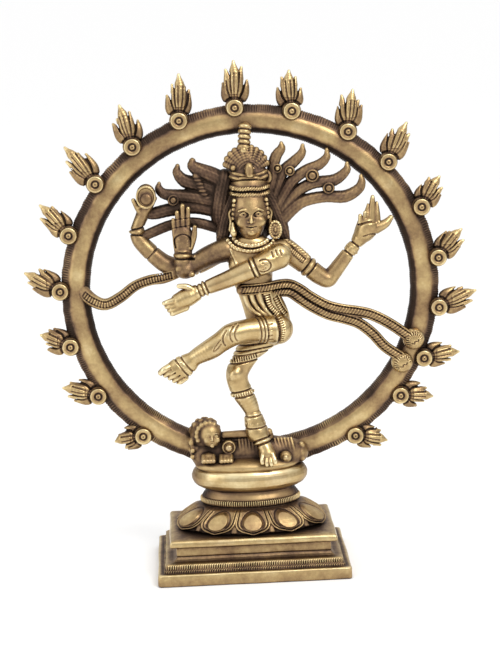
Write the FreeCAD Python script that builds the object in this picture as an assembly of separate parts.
"""Small cast-brass nataraja: a dancing four-armed figure on a dwarf, inside a hoop of flames.

Frame: millimetres, +Z up, X to the viewer's right, -Y towards the viewer.
Origin: on the surface that it stands on, in the middle of the plinth's depth and of the
overall width, flames included.
"""
import FreeCAD, Part
import math
import os

# ---------------------------------------------------------------- driving dimensions
# stepped plinth
PLINTH_WIDTH = 66.0          # bottom slab, along X
PLINTH_DEPTH = 46.0          # bottom slab, along Y
SLAB_HEIGHT = 4.2
STEP_INSET = 2.7             # milled step, in from the slab on every side
STEP_HEIGHT = 2.6
DIE_INSET = 6.6              # recessed die, in from the slab on every side
DIE_HEIGHT = 5.4
TOP_INSET = 4.4              # wide thin top slab, in from the bottom slab
TOP_HEIGHT = 2.6
PLINTH_WALL = 3.0            # wall of the hollow under the plinth
PLINTH_ROOF = 5.5            # metal left over the hollow

# oval tower on the plinth
LOTUS_LENGTH = 52.0          # petal dome at its foot, along X
LOTUS_HEIGHT = 8.0
COLLAR_LENGTH = 34.6
COLLAR_HEIGHT = 2.6
SEAT_LENGTH = 40.4           # oval cushion, along X
SEAT_HEIGHT = 11.0
OVAL_RATIO = 0.62            # depth of each oval over its length

# what holds the tower together from below
SCREW_DIAMETER = 4.0
SCREW_REACH = 7.0            # how far the screw runs into the seat
SCREW_HEAD_DIAMETER = 7.0
SCREW_HEAD_HEIGHT = 2.4
WASHER_DIAMETER = 10.0
WASHER_HEIGHT = 1.0

# hoop of flames
HOOP_RADIUS = 59.6           # middle of the band, along X
HOOP_ASPECT = 0.972          # height of the hoop over its width
HOOP_BAND = 9.7              # width of the band, bevels included
HOOP_FACE = 4.6              # flat front face of the band
HOOP_DEPTH = 6.0
HOOP_SINK = 2.5              # how far the hoop is let into the seat
HOOP_SHIFT = 2.8             # centre of the hoop, right of the plinth's centre
BOSS_DIAMETER = 6.0
BOSS_HEIGHT = 4.0
BOSS_PROUD = 1.0             # in front of the hoop's face
FLAME_THICKNESS = 3.2
FLAME_WIDTH = 3.7            # widest part of one tongue

# figure
FIGURE_HEIGHT = 110.2        # from the seat to the top of the fan headdress
LIMB_FULLNESS = 1.0          # thickness of limbs over their drawn thickness
FAN_THICKNESS = 4.0
PALM_THICKNESS = 2.8
DRUM_DIAMETER = 7.0
DRUM_LENGTH = 6.5
ROSETTE_DIAMETER = 6.0
ROSETTE_THICKNESS = 3.0
SASH_RADIUS = 1.95
SCARF_RADIUS = 1.75

# ---------------------------------------------------------------- sizes that follow
slab_top = SLAB_HEIGHT
step_top = slab_top + STEP_HEIGHT
die_top = step_top + DIE_HEIGHT
plinth_top = die_top + TOP_HEIGHT
lotus_top = plinth_top + LOTUS_HEIGHT
collar_top = lotus_top + COLLAR_HEIGHT
seat_top = collar_top + SEAT_HEIGHT

hoop_outer = HOOP_RADIUS + HOOP_BAND / 2
hoop_centre_x = HOOP_SHIFT
hoop_centre_z = seat_top - HOOP_SINK + hoop_outer * HOOP_ASPECT

# The figure is drawn on a seat whose top is at 36.4 mm, with its fan's top at 146.6 mm.
DRAWN_SEAT_TOP = 36.4
DRAWN_FIGURE_HEIGHT = 110.2
figure_scale = FIGURE_HEIGHT / DRAWN_FIGURE_HEIGHT

Y_AXIS = FreeCAD.Vector(0, 1, 0)
BALL_POLE = FreeCAD.Vector(0.3, 0.5, 0.8)   # keeps a ball's pole out of its neighbours' seams
NECK = 0.95                  # cone ends over the ball that they run into
SCRAP = 0.5                  # a loose chip smaller than this, in cubic mm, is dropped


# ---------------------------------------------------------------- helpers
def vec(x, y, z):
    return FreeCAD.Vector(x, y, z)


def on_figure(x, y, z):
    """A drawn point of the figure, at the figure's real size and on the real seat."""
    return vec(x * figure_scale, y * figure_scale,
               seat_top + (z - DRAWN_SEAT_TOP) * figure_scale)


def block(width, depth, height, z, x=0.0, y=0.0):
    """A box centred on x, y that stands on z."""
    return Part.makeBox(width, depth, height, vec(x - width / 2, y - depth / 2, z))


def rod(start, end, r1, r2):
    """A round bar or cone between two points."""
    axis = end - start
    if abs(r1 - r2) < 0.01:
        return Part.makeCylinder(r1, axis.Length, start, axis)
    return Part.makeCone(r1, r2, axis.Length, start, axis)


def limb(stations):
    """A chain of balls joined by cones. A station is (point, radius)."""
    pieces = [Part.makeSphere(radius, point, BALL_POLE) for point, radius in stations]
    for (a, ra), (b, rb) in zip(stations, stations[1:]):
        pieces.append(rod(a, b, ra * NECK, rb * NECK))
    return pieces[0].multiFuse(pieces[1:])


def body_limb(drawn):
    """A limb of the figure, from drawn stations (x, y, z, radius)."""
    return limb([(on_figure(x, y, z), r * figure_scale * LIMB_FULLNESS)
                 for x, y, z, r in drawn])


def strand(points, radii):
    return limb(list(zip(points, radii)))


def join(first, *others):
    return first.multiFuse(list(others))


def fit(shape, neighbours):
    """Cut a piece back to the faces of the pieces that it meets."""
    box = shape.BoundBox
    for other in neighbours:
        if box.intersect(other.BoundBox):
            shape = shape.cut(other)
    solids = [s for s in shape.Solids if s.Volume > SCRAP]
    solids.sort(key=lambda s: -s.Volume)
    return solids[0]


def hoop_point(degrees, y, inset=0.0):
    """A point on the hoop's mid line (or further in), at an angle from the +X side."""
    a = math.radians(degrees)
    r = HOOP_RADIUS - inset
    return vec(hoop_centre_x + r * math.cos(a), y, hoop_centre_z + r * HOOP_ASPECT * math.sin(a))


def reach(points, end):
    """Stretch a drawn route along X and Z so that its last point lands on end."""
    start = points[0]
    last = points[-1]
    kx = (end.x - start.x) / (last.x - start.x)
    kz = (end.z - start.z) / (last.z - start.z)
    return [vec(start.x + (p.x - start.x) * kx, p.y, start.z + (p.z - start.z) * kz)
            for p in points]


def oval(length, z):
    """An oval wire, long along X, at height z."""
    curve = Part.Ellipse(vec(0, 0, z), length / 2, length / 2 * OVAL_RATIO)
    return Part.Wire([curve.toShape()])


def oval_tower(levels):
    """A solid through ovals. A level is (length, z)."""
    return Part.makeLoft([oval(length, z) for length, z in levels], True, True)


# ---------------------------------------------------------------- base
def make_plinth():
    slab = block(PLINTH_WIDTH, PLINTH_DEPTH, SLAB_HEIGHT, 0)
    step = block(PLINTH_WIDTH - 2 * STEP_INSET, PLINTH_DEPTH - 2 * STEP_INSET,
                 STEP_HEIGHT, slab_top)
    die = block(PLINTH_WIDTH - 2 * DIE_INSET, PLINTH_DEPTH - 2 * DIE_INSET,
                DIE_HEIGHT, step_top)
    top = block(PLINTH_WIDTH - 2 * TOP_INSET, PLINTH_DEPTH - 2 * TOP_INSET,
                TOP_HEIGHT, die_top)
    top = top.makeFillet(TOP_HEIGHT * 0.3, top.Edges)
    hollow = block(PLINTH_WIDTH - 2 * (DIE_INSET + PLINTH_WALL),
                   PLINTH_DEPTH - 2 * (DIE_INSET + PLINTH_WALL),
                   plinth_top - PLINTH_ROOF, 0)
    bore = Part.makeCylinder(SCREW_DIAMETER / 2, plinth_top, vec(0, 0, 0))
    return join(slab, step, die, top).cut(hollow).cut(bore)


def tower_bore(shape):
    return shape.cut(Part.makeCylinder(SCREW_DIAMETER / 2, seat_top, vec(0, 0, 0)))


def make_lotus():
    waist = COLLAR_LENGTH - 1.6
    spread = LOTUS_LENGTH - waist
    levels = [(1.0, 0.0), (1.06, 0.14), (1.0, 0.32), (0.80, 0.52), (0.52, 0.72), (0.22, 0.88),
              (0.0, 1.0)]
    return tower_bore(oval_tower([(waist + spread * share, plinth_top + LOTUS_HEIGHT * height)
                                  for share, height in levels]))


def make_collar():
    levels = [(COLLAR_LENGTH - 1.6, lotus_top),
              (COLLAR_LENGTH, lotus_top + COLLAR_HEIGHT / 2),
              (COLLAR_LENGTH - 1.6, collar_top)]
    return tower_bore(oval_tower(levels))


def make_seat():
    """The cushion: a short neck, a full belly and a rolled-in rim. A level is (inset, height)."""
    neck = (SEAT_LENGTH - COLLAR_LENGTH) / 2 + 1.2
    levels = [(neck, 0.0), (neck, 0.18), (neck - 1.4, 0.27), (1.6, 0.40), (0.2, 0.54),
              (0.0, 0.66), (0.7, 0.84), (2.0, 1.0)]
    seat = oval_tower([(SEAT_LENGTH - 2 * inset, collar_top + SEAT_HEIGHT * height)
                       for inset, height in levels])
    return seat.cut(Part.makeCylinder(SCREW_DIAMETER / 2, SCREW_REACH, vec(0, 0, collar_top)))


def make_screw():
    head_z = plinth_top - PLINTH_ROOF - WASHER_HEIGHT
    shank = Part.makeCylinder(SCREW_DIAMETER / 2, collar_top + SCREW_REACH - head_z,
                              vec(0, 0, head_z))
    head = Part.makeCylinder(SCREW_HEAD_DIAMETER / 2, SCREW_HEAD_HEIGHT,
                             vec(0, 0, head_z - SCREW_HEAD_HEIGHT))
    slot = block(SCREW_HEAD_DIAMETER * 2, 1.0, 1.0, head_z - SCREW_HEAD_HEIGHT)
    return shank.fuse(head).cut(slot)


def make_washer():
    z = plinth_top - PLINTH_ROOF - WASHER_HEIGHT
    disc = Part.makeCylinder(WASHER_DIAMETER / 2, WASHER_HEIGHT, vec(0, 0, z))
    return disc.cut(Part.makeCylinder(SCREW_DIAMETER / 2, WASHER_HEIGHT, vec(0, 0, z)))


# ---------------------------------------------------------------- hoop and flames
def make_hoop():
    """The band as a four-centred oval: flatter arcs at top and bottom, tighter at the sides."""
    half = HOOP_BAND / 2
    face = HOOP_FACE / 2
    bevel = HOOP_DEPTH * 0.36
    back = HOOP_DEPTH * 0.77
    section = [(-face, 0), (face, 0), (half, bevel), (half, back), (half * 0.66, HOOP_DEPTH),
               (-half * 0.66, HOOP_DEPTH), (-half, back), (-half, bevel)]
    offset = HOOP_RADIUS * (1 - HOOP_ASPECT) / (2 - math.sqrt(2))
    side_radius = HOOP_RADIUS - offset
    crown_radius = HOOP_RADIUS * HOOP_ASPECT + offset
    quarters = []
    for turn, radius in ((-45, side_radius), (45, crown_radius),
                         (135, side_radius), (225, crown_radius)):
        middle = math.radians(turn + 45)
        sign = 1 if radius == side_radius else -1
        centre = vec(hoop_centre_x + sign * offset * math.cos(middle), 0,
                     hoop_centre_z + sign * offset * math.sin(middle))
        corners = [vec(radius + r, y, 0) for r, y in section]
        wire = Part.makePolygon(corners + [corners[0]])
        quarter = Part.Face(wire).revolve(vec(0, 0, 0), Y_AXIS, -90)
        quarter.rotate(vec(0, 0, 0), Y_AXIS, -turn)
        quarter.translate(centre)
        quarters.append(quarter)
    return join(*quarters)


def tongue(length, width, lean, root):
    """One flame tongue: a pointed leaf between two arcs, leaning by an angle."""
    foot = vec(0, 0, root)
    tip = vec(0, 0, root + length)
    left = Part.Arc(foot, vec(-width / 2, 0, root + length * 0.45), tip).toShape()
    right = Part.Arc(tip, vec(width / 2, 0, root + length * 0.45), foot).toShape()
    leaf = Part.Face(Part.Wire([left, right])).extrude(vec(0, FLAME_THICKNESS, 0))
    leaf.rotate(vec(0, 0, 0), Y_AXIS, lean)
    return leaf


def make_flame(degrees, pointing, length):
    """A flame on the hoop's rim at one angle, pointing at another, with its punched boss."""
    a = math.radians(degrees)
    rim = hoop_outer + 0.3
    place = vec(hoop_centre_x + rim * math.cos(a), 0,
                hoop_centre_z + (rim * HOOP_ASPECT - 1.0) * math.sin(a))
    shapes = [tongue(length + 2.0, FLAME_WIDTH, 0, -2.0)]
    for side in (-1, 1):
        shapes.append(tongue(length * 0.86, FLAME_WIDTH * 0.9, side * 13, -2.0))
        shapes.append(tongue(length * 0.66, FLAME_WIDTH * 0.9, side * 27, -2.0))
    flame = shapes[0].multiFuse(shapes[1:])
    flame.translate(vec(0, 0.8, 0))
    flame.rotate(vec(0, 0, 0), Y_AXIS, 90 - pointing)
    boss = Part.makeCylinder(BOSS_DIAMETER / 2, BOSS_HEIGHT, vec(0, -BOSS_PROUD, 0), Y_AXIS)
    groove = Part.makeCylinder(BOSS_DIAMETER * 0.30, 0.5, vec(0, -BOSS_PROUD, 0), Y_AXIS)
    dot = Part.makeCylinder(BOSS_DIAMETER * 0.15, 0.5, vec(0, -BOSS_PROUD, 0), Y_AXIS)
    flame = flame.fuse(boss).cut(groove.cut(dot))
    flame.translate(place)
    return flame


# place on the rim, direction that the flame points in, boss centre to tip
FLAMES = [(-127, 192, 10.5), (-146, 166, 13.0), (-164, 156, 11.5), (178, 148, 14.0),
          (160, 131, 14.5), (142, 127, 16.5), (126, 103, 15.0), (110, 88, 16.0),
          (93, 88, 16.0), (76, 92, 14.0), (58, 84, 14.5), (42.5, 65, 15.0),
          (25, 57, 12.5), (8, 47, 13.0), (-8, 21, 14.5), (-25, 7, 13.0),
          (-39, -5, 12.0), (-58, -13, 12.0)]


# ---------------------------------------------------------------- figure
def make_torso():
    trunk = body_limb([(8.2, -5, 86.5, 7.3), (6.2, -5, 92.5, 6.3), (4.3, -5, 98, 5.7),
                       (3.8, -5, 107, 6.8)])
    shoulders = body_limb([(-5.0, -4, 111.3, 4.2), (4.0, -4.5, 110, 5.6), (13.4, -4, 110.3, 4.4)])
    neck = body_limb([(3.4, -5, 110, 3.6), (3.2, -5.5, 117, 3.3)])
    return join(trunk, shoulders, neck)


def make_standing_leg():
    return body_limb([(6.8, -5, 83, 6.0), (1.8, -5, 77.5, 5.0), (-1.4, -6, 73.5, 4.4),
                      (-3.4, -7, 69.2, 3.9), (-1.2, -6.5, 63, 3.9), (1.4, -6.5, 56.5, 2.7),
                      (2.4, -6.5, 50, 3.9), (4.2, -7.5, 46, 3.0), (6.0, -9.0, 41.6, 2.4)])


def make_raised_leg():
    return body_limb([(11.4, -8.5, 84.6, 5.0), (5.0, -10.5, 84.7, 4.0), (-0.2, -12, 84.9, 3.8),
                      (-4.8, -13, 84.0, 3.95), (-11.7, -13, 79.6, 3.5), (-16.0, -12.5, 77.4, 2.9),
                      (-20.6, -12.5, 74.6, 3.1), (-26.4, -12.5, 72.2, 2.8),
                      (-30.0, -12.5, 72.4, 1.7)])


def make_head():
    return body_limb([(3.0, -6, 121, 6.2), (3.6, -5.5, 127.5, 6.9), (3.6, -5, 133, 6.2),
                      (3.4, -4.5, 138, 5.2)])


def make_hair_veil():
    left = body_limb([(0.0, -1.2, 131, 3.4), (-4.0, -2.0, 123, 2.6), (-5.4, -2.6, 117, 2.2)])
    right = body_limb([(7.0, -1.2, 131, 3.4), (11.2, -2.0, 123, 2.5), (13.4, -2.6, 116.5, 2.1)])
    back = body_limb([(3.6, -0.8, 132, 4.4), (3.9, -0.6, 119, 5.2)])
    return join(back, left, right)


def make_fan():
    """The flat fan of the headdress, an outline cut through a plate."""
    drawn = [(-3.4, 136.5), (-6.0, 141.2), (-3.2, 144.6), (0.4, 146.4), (4.6, 146.3),
             (7.6, 144.4), (9.9, 142.0), (7.9, 137.0)]
    corners = [on_figure(x, -5.0, z) for x, z in drawn]
    crown = Part.BSplineCurve()
    crown.interpolate(corners)
    rim = Part.Wire([crown.toShape(), Part.makeLine(corners[-1], corners[0])])
    return Part.Face(rim).extrude(vec(0, FAN_THICKNESS * figure_scale, 0))


def make_crest():
    foot = on_figure(1.8, -4.0, 145.0)
    top = hoop_point(90.6, -2.0)
    top = vec(foot.x + 0.8, top.y, top.z - HOOP_FACE * 0.1)
    return strand([foot, top], [2.2 * figure_scale, 2.1 * figure_scale])


def make_crossing_arm():
    arm = body_limb([(11.8, -8, 108.8, 4.3), (6.7, -10, 106.8, 3.8), (-1.1, -11, 104.2, 3.3),
                     (-9.5, -11.5, 101.1, 2.6), (-14.2, -11.5, 99.3, 2.3),
                     (-18.2, -11.5, 97.0, 2.9), (-23.0, -11.5, 95.4, 2.5),
                     (-26.0, -11.5, 94.2, 1.8)])
    thumb = body_limb([(-17.0, -12, 99.5, 1.6), (-21.0, -12, 100.9, 1.2)])
    return arm.fuse(thumb)


def make_blessing_arm():
    arm = body_limb([(-6.6, -4.5, 111.2, 4.2), (-12.3, -5, 109.2, 3.6), (-18.6, -5, 105.6, 3.2),
                     (-20.2, -5.5, 109.2, 2.9)])
    palm = block(7.0 * figure_scale, PALM_THICKNESS * figure_scale, 10.5 * figure_scale,
                 on_figure(0, 0, 109).z, -19.6 * figure_scale, -6.0 * figure_scale)
    fingers = [body_limb([(-22.0, -6, 118, 1.1), (-21.3, -6, 125.2, 0.9)]),
               body_limb([(-19.8, -6, 118, 1.3), (-19.1, -6, 127.8, 0.9)]),
               body_limb([(-17.0, -6, 112, 1.3), (-15.8, -6, 120.6, 1.0)])]
    return join(arm, palm, *fingers)


def make_drum_arm():
    return body_limb([(-6.0, -1.5, 112, 3.8), (-17.6, -1.2, 105.8, 3.3), (-25.6, -1, 106.6, 3.1),
                      (-30.8, -1, 111.3, 2.9), (-35.0, -1, 116.4, 2.4), (-33.6, -1, 121.5, 2.1),
                      (-32.0, -1, 126.0, 2.2)])


def make_drum():
    """A small waisted drum held end-on in the rear hand."""
    centre = on_figure(-31.5, -1.5, 130.0)
    radius = DRUM_DIAMETER / 2 * figure_scale
    half = DRUM_LENGTH / 2 * figure_scale
    front = Part.makeCone(radius, radius * 0.7, half, centre - Y_AXIS * half, Y_AXIS)
    back = Part.makeCone(radius * 0.7, radius, half, centre, Y_AXIS)
    return front.fuse(back)


def make_flame_arm():
    arm = body_limb([(14.7, -3, 110.6, 4.0), (19.0, -2.5, 107.0, 3.5), (23.6, -2, 103.0, 3.2),
                     (28.2, -1.5, 99.6, 3.2), (31.8, -1.5, 103.0, 2.5), (35.3, -1.5, 107.2, 2.4),
                     (38.4, -1.5, 111.0, 2.2), (41.2, -1.5, 114.6, 3.0), (43.2, -1.5, 117.2, 3.4)])
    thumb = body_limb([(43.6, -1.5, 115.8, 2.2), (48.6, -1.5, 118.2, 1.6), (50.6, -1.5, 119.8, 1.0)])
    return arm.fuse(thumb)


def make_hand_flame():
    return body_limb([(43.7, -2.0, 119.0, 2.6), (44.5, -2.0, 126.4, 1.4)])


def make_earring_ring():
    return Part.makeCylinder(2.4 * figure_scale, 3.4 * figure_scale,
                             on_figure(11.4, -7.0, 118.0), Y_AXIS)


def make_earring_drop():
    return body_limb([(-2.8, -8.2, 119.4, 1.0), (-2.6, -8.2, 117.0, 0.8)])


def lock_disc(x, z, radius):
    """A small ornament disc on the front of a lock."""
    return Part.makeCylinder(radius * figure_scale, 2.6 * figure_scale,
                             on_figure(x, -4.2, z), Y_AXIS)


def make_locks_right():
    locks = [body_limb([(10.6, -2, 133, 1.9), (11.8, -2, 139, 1.6), (13.9, -2, 145.4, 1.1)]),
             body_limb([(12.0, -2, 130, 1.8), (14.5, -2, 136.6, 1.6), (18, -2, 140.4, 1.3),
                        (21, -2, 144.4, 0.9)]),
             body_limb([(13.0, -2, 126.5, 1.8), (17.8, -2, 133.8, 1.6), (22.6, -2, 137.3, 1.6),
                        (26.7, -2, 139.5, 1.4), (29.2, -2, 142.2, 0.8)]),
             body_limb([(14.5, -2, 124.4, 1.8), (20, -2, 130.2, 1.5), (25.2, -2, 133.2, 1.7),
                        (31.9, -2, 133.9, 1.5), (36, -2, 137.6, 0.9)]),
             body_limb([(12.4, -2, 121.0, 2.2), (21.3, -2, 126.8, 1.7), (28.7, -2, 128.5, 1.4),
                        (35.5, -2, 129.0, 1.4), (39.5, -2, 130.9, 1.4), (40.9, -2, 133.4, 1.1)])]
    discs = [lock_disc(*place) for place in ((12.8, 138.0, 1.3), (17.0, 137.2, 1.5),
                                             (24.4, 135.4, 2.2), (29.8, 130.8, 1.9))]
    return join(*(locks + discs))


def make_locks_left():
    mass = body_limb([(-4.6, -1, 134.5, 2.8), (-5.6, -1, 129, 3.2), (-7.4, -1, 123, 2.6),
                      (-6.4, -1, 118.6, 2.2)])
    locks = [body_limb([(-5.6, -1.2, 134, 2.6), (-9.2, -1.3, 136.6, 2.4),
                        (-12.8, -1.2, 138.4, 1.9), (-15.6, -1.2, 140.4, 1.2)]),
             body_limb([(-8, -0.9, 131, 2.2), (-13, -0.8, 133.4, 2.2),
                        (-18.3, -0.9, 135.8, 1.7), (-20.9, -0.9, 139.2, 1.1)]),
             body_limb([(-7.9, -1.1, 127.4, 2.2), (-14.9, -1.3, 129.4, 2.2),
                        (-21.6, -1.3, 130.2, 1.7), (-25.2, -1.2, 131.2, 1.4),
                        (-26.9, -1.2, 133.4, 1.0)]),
             body_limb([(-8, -0.8, 124.4, 1.8), (-15, -0.7, 126.2, 2.0),
                        (-23.4, -0.8, 125.6, 1.9), (-31.0, -0.9, 124.2, 1.6)])]
    strut = body_limb([(-8.0, -1.2, 118.4, 1.5), (-15.3, -1.4, 120.5, 1.4),
                       (-23.0, -1.3, 120.2, 1.4), (-32.6, -1.2, 116.6, 1.4)])
    return join(mass, strut, lock_disc(-22.3, 128.5, 1.9), *locks)


def make_scarf():
    drawn = [(-20.5, -3.0, 104.6), (-26.5, -2.6, 102.4), (-31.2, -2.4, 101.9),
             (-36.4, -2.2, 100.0), (-41.4, -2.0, 96.6), (-46.5, -1.8, 94.2),
             (-51.2, -1.6, 95.6), (-55.6, -1.2, 99.6)]
    route = reach([on_figure(*p) for p in drawn], hoop_point(176.8, 0, 1.2))
    return strand(route, [SCARF_RADIUS] * 7 + [SCARF_RADIUS * 1.5])


def make_sash():
    upper = [(8.0, -5.0, 98.4), (15.7, -2.6, 98.9), (22.8, -2.2, 94.0), (28.2, -2.0, 90.4),
             (38.5, -2.0, 88.6), (45.6, -2.0, 86.2), (50.6, -2.0, 82.8), (55.4, -2.0, 78.2)]
    lower = [(8.0, -5.0, 96.4), (15.8, -2.6, 97.0), (22.8, -2.2, 90.8), (28.5, -2.0, 87.2),
             (36.2, -2.0, 85.2), (42.2, -2.0, 81.8), (47.6, -2.0, 76.4), (51.0, -2.0, 71.0)]
    first = reach([on_figure(*p) for p in upper], hoop_point(-19.6, 0, 1.8))
    second = reach([on_figure(*p) for p in lower], hoop_point(-27.0, 0, 3.2))
    radii = [SASH_RADIUS] * len(first)
    return strand(first, radii).fuse(strand(second, radii))


def make_rosette(degrees, inset):
    centre = hoop_point(degrees, -ROSETTE_THICKNESS, inset)
    disc = Part.makeCylinder(ROSETTE_DIAMETER / 2, ROSETTE_THICKNESS + 0.6, centre, Y_AXIS)
    return disc.makeFillet(0.8, disc.Edges[:1])


def make_dwarf():
    """The crouching dwarf: head at the left, folded body along the seat."""
    trunk = body_limb([(-14.6, -1.5, 40.4, 5.2), (-6, -1.5, 40.7, 5.6), (4, -1.5, 40.3, 5.5),
                       (13.2, -1.5, 39.2, 4.4), (15.6, -1.0, 38.6, 3.7)])
    head = body_limb([(-14.2, -3.5, 48.6, 4.6)])
    back = block(15.6 * figure_scale, 6.4 * figure_scale, 4.0 * figure_scale,
                 on_figure(0, 0, 45.4).z, -1.0 * figure_scale, -3.6 * figure_scale)
    knob = body_limb([(-7.0, -7.0, 43.4, 2.1), (-7.0, -3.0, 43.0, 2.1)])
    hand_a = block(4.4, 3.0, 3.4, seat_top - 0.6, -13.6 * figure_scale, -5.4 * figure_scale)
    hand_b = block(4.4, 3.0, 3.2, seat_top - 0.6, -7.8 * figure_scale, -6.2 * figure_scale)
    toe = body_limb([(12.0, -5.5, 38.4, 2.0), (13.0, -2.0, 38.6, 2.4)])
    return join(trunk, head, back, knob, hand_a, hand_b, toe)


# ---------------------------------------------------------------- assembly
def build():
    """Every node, in the order in which later pieces are fitted to earlier ones."""
    nodes = {}

    def add(name, shape, *meets):
        nodes[name] = fit(shape, [nodes[m] for m in meets])

    add("plinth", make_plinth())
    add("lotus_tier", make_lotus())
    add("milled_collar", make_collar())
    add("fixing_screw", make_screw())
    add("fixing_washer", make_washer())
    add("ring_hoop", make_hoop())
    add("seat_cushion", make_seat(), "ring_hoop")
    for number, (degrees, pointing, length) in enumerate(FLAMES, start=1):
        add("flame_%02d" % number, make_flame(degrees, pointing, length), "ring_hoop")

    add("torso", make_torso())
    add("standing_leg", make_standing_leg(), "torso")
    add("raised_leg", make_raised_leg(), "torso", "standing_leg")
    add("dwarf", make_dwarf(), "seat_cushion", "ring_hoop", "standing_leg")
    add("head", make_head(), "torso")
    add("hair_veil", make_hair_veil(), "torso", "head")
    add("fan_headdress", make_fan(), "head")
    add("crest_finial", make_crest(), "fan_headdress", "head", "ring_hoop")
    add("crossing_arm", make_crossing_arm(), "torso")
    add("blessing_arm", make_blessing_arm(), "torso", "crossing_arm", "hair_veil")
    add("drum_arm", make_drum_arm(), "torso", "blessing_arm", "hair_veil")
    add("hand_drum", make_drum(), "drum_arm")
    add("flame_arm", make_flame_arm(), "torso", "crossing_arm", "hair_veil")
    add("hand_flame", make_hand_flame(), "flame_arm")
    add("earring_ring", make_earring_ring(), "head", "hair_veil")
    add("earring_drop", make_earring_drop(), "head", "hair_veil", "torso")
    add("hair_locks_right", make_locks_right(), "head", "hair_veil", "fan_headdress",
        "flame_arm", "earring_ring", "torso")
    add("hair_locks_left", make_locks_left(), "head", "hair_veil", "fan_headdress",
        "drum_arm", "hand_drum", "blessing_arm", "torso")
    add("scarf", make_scarf(), "ring_hoop", "drum_arm", "blessing_arm", "flame_04")
    add("sash", make_sash(), "ring_hoop", "torso", "crossing_arm", "flame_arm")
    add("sash_rosette_upper", make_rosette(-19.6, 1.2), "ring_hoop", "sash", "flame_16")
    add("sash_rosette_lower", make_rosette(-28.6, 1.6), "ring_hoop", "sash", "flame_16",
        "flame_17", "sash_rosette_upper")
    return nodes


def centre_on_width(nodes):
    """Move the model so that the middle of its overall width, tip to tip, is at X = 0."""
    ends = [vertex.X for shape in nodes.values() for vertex in shape.Vertexes]
    middle = (min(ends) + max(ends)) / 2
    for shape in nodes.values():
        shape.translate(vec(-middle, 0, 0))


def main():
    os.makedirs("parts", exist_ok=True)
    nodes = build()
    centre_on_width(nodes)
    for name, shape in nodes.items():
        shape.exportStep("parts/%s.step" % name)


main()
